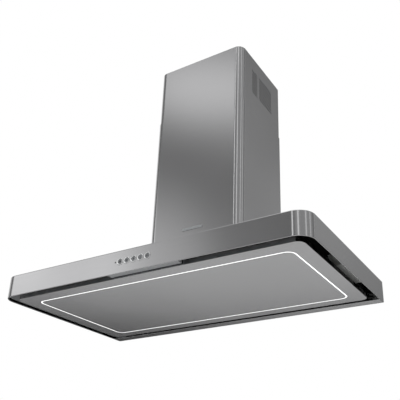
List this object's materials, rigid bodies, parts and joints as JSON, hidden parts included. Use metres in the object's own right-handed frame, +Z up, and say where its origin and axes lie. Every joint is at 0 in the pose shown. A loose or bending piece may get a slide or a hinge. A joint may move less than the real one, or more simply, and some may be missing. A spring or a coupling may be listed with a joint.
{
  "type": "wall chimney range hood",
  "caption": "Wall-mounted T-shaped range hood: slim steel canopy with a hinged edge-suction panel, light line, push buttons and telescopic chimney.",
  "frame": {"origin": "middle of the canopy's flat back face, on the wall", "axes": "+Z up, +Y into the wall, -Y towards the cook, +X to the right as the cook faces the hood"},
  "size_m": [0.9, 0.501, 0.8053],
  "materials": {
    "brushed_stainless": "brushed stainless steel sheet",
    "galvanised_sheet": "galvanised steel sheet with a faint spangle",
    "bright_steel": "zinc-plated steel",
    "aluminium": "mill-finish aluminium",
    "polished_trim": "bright chromed plastic and metal trim",
    "button_metal": "satin metal button cap with a spun face",
    "lit_diffuser": "opal acrylic light line, lit from behind",
    "white_plastic": "white moulded plastic",
    "black_plastic": "black moulded plastic",
    "grey_plastic": "grey moulded plastic",
    "circuit_board": "green solder-masked circuit board",
    "motor_casing": "dark painted motor casing"
  },
  "bodies": {
    "hood": {"canopy_shell": "brushed_stainless", "canopy_back_panel": "brushed_stainless", "lower_chimney": "brushed_stainless", "hinge_bracket_left": "galvanised_sheet", "hinge_bracket_right": "galvanised_sheet", "filter_carrier": "galvanised_sheet", "blower_box": "galvanised_sheet", "scroll_wrap": "galvanised_sheet", "scroll_side_left": "galvanised_sheet", "scroll_side_right": "galvanised_sheet", "motor_bracket": "galvanised_sheet", "chimney_clip_left": "galvanised_sheet", "chimney_clip_right": "galvanised_sheet", "wall_bracket_lower": "galvanised_sheet", "wall_bracket_upper": "galvanised_sheet", "hinge_pin_left": "bright_steel", "hinge_pin_right": "bright_steel", "blower_screw_1": "bright_steel", "blower_screw_2": "bright_steel", "blower_screw_3": "bright_steel", "blower_screw_4": "bright_steel", "filter_frame_left": "aluminium", "filter_frame_right": "aluminium", "filter_mesh_left": "aluminium", "filter_mesh_right": "aluminium", "button_frame": "polished_trim", "blank_badge": "polished_trim", "power_box": "white_plastic", "led_driver": "white_plastic", "capacitor": "white_plastic", "catch_left": "black_plastic", "catch_right": "black_plastic", "indicator_lens": "black_plastic", "cable_gland": "black_plastic", "control_housing": "grey_plastic", "outlet_collar": "grey_plastic", "control_board": "circuit_board", "motor": "motor_casing"},
    "suction_panel": {"panel_frame": "brushed_stainless", "panel_centre": "brushed_stainless", "led_channel": "aluminium", "led_strip": "white_plastic", "led_diffuser": "lit_diffuser", "hinge_leaf_left": "galvanised_sheet", "hinge_leaf_right": "galvanised_sheet", "striker_left": "bright_steel", "striker_right": "bright_steel"},
    "upper_cover": {"upper_chimney": "brushed_stainless"},
    "blower_rotor": {"blower_wheel": "galvanised_sheet", "motor_shaft": "bright_steel"},
    "flap_left": {"outlet_flap_left": "black_plastic"},
    "flap_right": {"outlet_flap_right": "black_plastic"},
    "latch_left": {"filter_latch_left": "grey_plastic"},
    "latch_right": {"filter_latch_right": "grey_plastic"},
    "push_button_1": {"button_1": "button_metal"},
    "push_button_2": {"button_2": "button_metal"},
    "push_button_3": {"button_3": "button_metal"},
    "push_button_4": {"button_4": "button_metal"},
    "push_button_5": {"button_5": "button_metal"}
  },
  "joints": [
    {"name": "panel_hinge", "type": "hinge", "parent": "hood", "child": "suction_panel", "pos_m": [0, -0.056, -0.021], "axis": [1, 0, 0], "range_deg": [0, 90]},
    {"name": "upper_cover_slide", "type": "slide", "parent": "hood", "child": "upper_cover", "axis": [0, 0, 1], "range_m": [-0.19, 0.2]},
    {"name": "rotor_spin", "type": "hinge", "parent": "hood", "child": "blower_rotor", "pos_m": [0, -0.124, 0.1523], "axis": [1, 0, 0], "continuous": true},
    {"name": "flap_left_hinge", "type": "hinge", "parent": "hood", "child": "flap_left", "pos_m": [-0.005, -0.124, 0.3526], "axis": [0, 1, 0], "range_deg": [0, 75]},
    {"name": "flap_right_hinge", "type": "hinge", "parent": "hood", "child": "flap_right", "pos_m": [0.005, -0.124, 0.3526], "axis": [0, -1, 0], "range_deg": [0, 75]},
    {"name": "latch_left_slide", "type": "slide", "parent": "hood", "child": "latch_left", "axis": [0, 1, 0], "range_m": [0, 0.006], "stiffness_N_per_m": 400},
    {"name": "latch_right_slide", "type": "slide", "parent": "hood", "child": "latch_right", "axis": [0, 1, 0], "range_m": [0, 0.006], "stiffness_N_per_m": 400},
    {"name": "button_1_press", "type": "slide", "parent": "hood", "child": "push_button_1", "axis": [0, 1, 0], "range_m": [0, 0.002], "stiffness_N_per_m": 500},
    {"name": "button_2_press", "type": "slide", "parent": "hood", "child": "push_button_2", "axis": [0, 1, 0], "range_m": [0, 0.002], "stiffness_N_per_m": 500},
    {"name": "button_3_press", "type": "slide", "parent": "hood", "child": "push_button_3", "axis": [0, 1, 0], "range_m": [0, 0.002], "stiffness_N_per_m": 500},
    {"name": "button_4_press", "type": "slide", "parent": "hood", "child": "push_button_4", "axis": [0, 1, 0], "range_m": [0, 0.002], "stiffness_N_per_m": 500},
    {"name": "button_5_press", "type": "slide", "parent": "hood", "child": "push_button_5", "axis": [0, 1, 0], "range_m": [0, 0.002], "stiffness_N_per_m": 500}
  ]
}
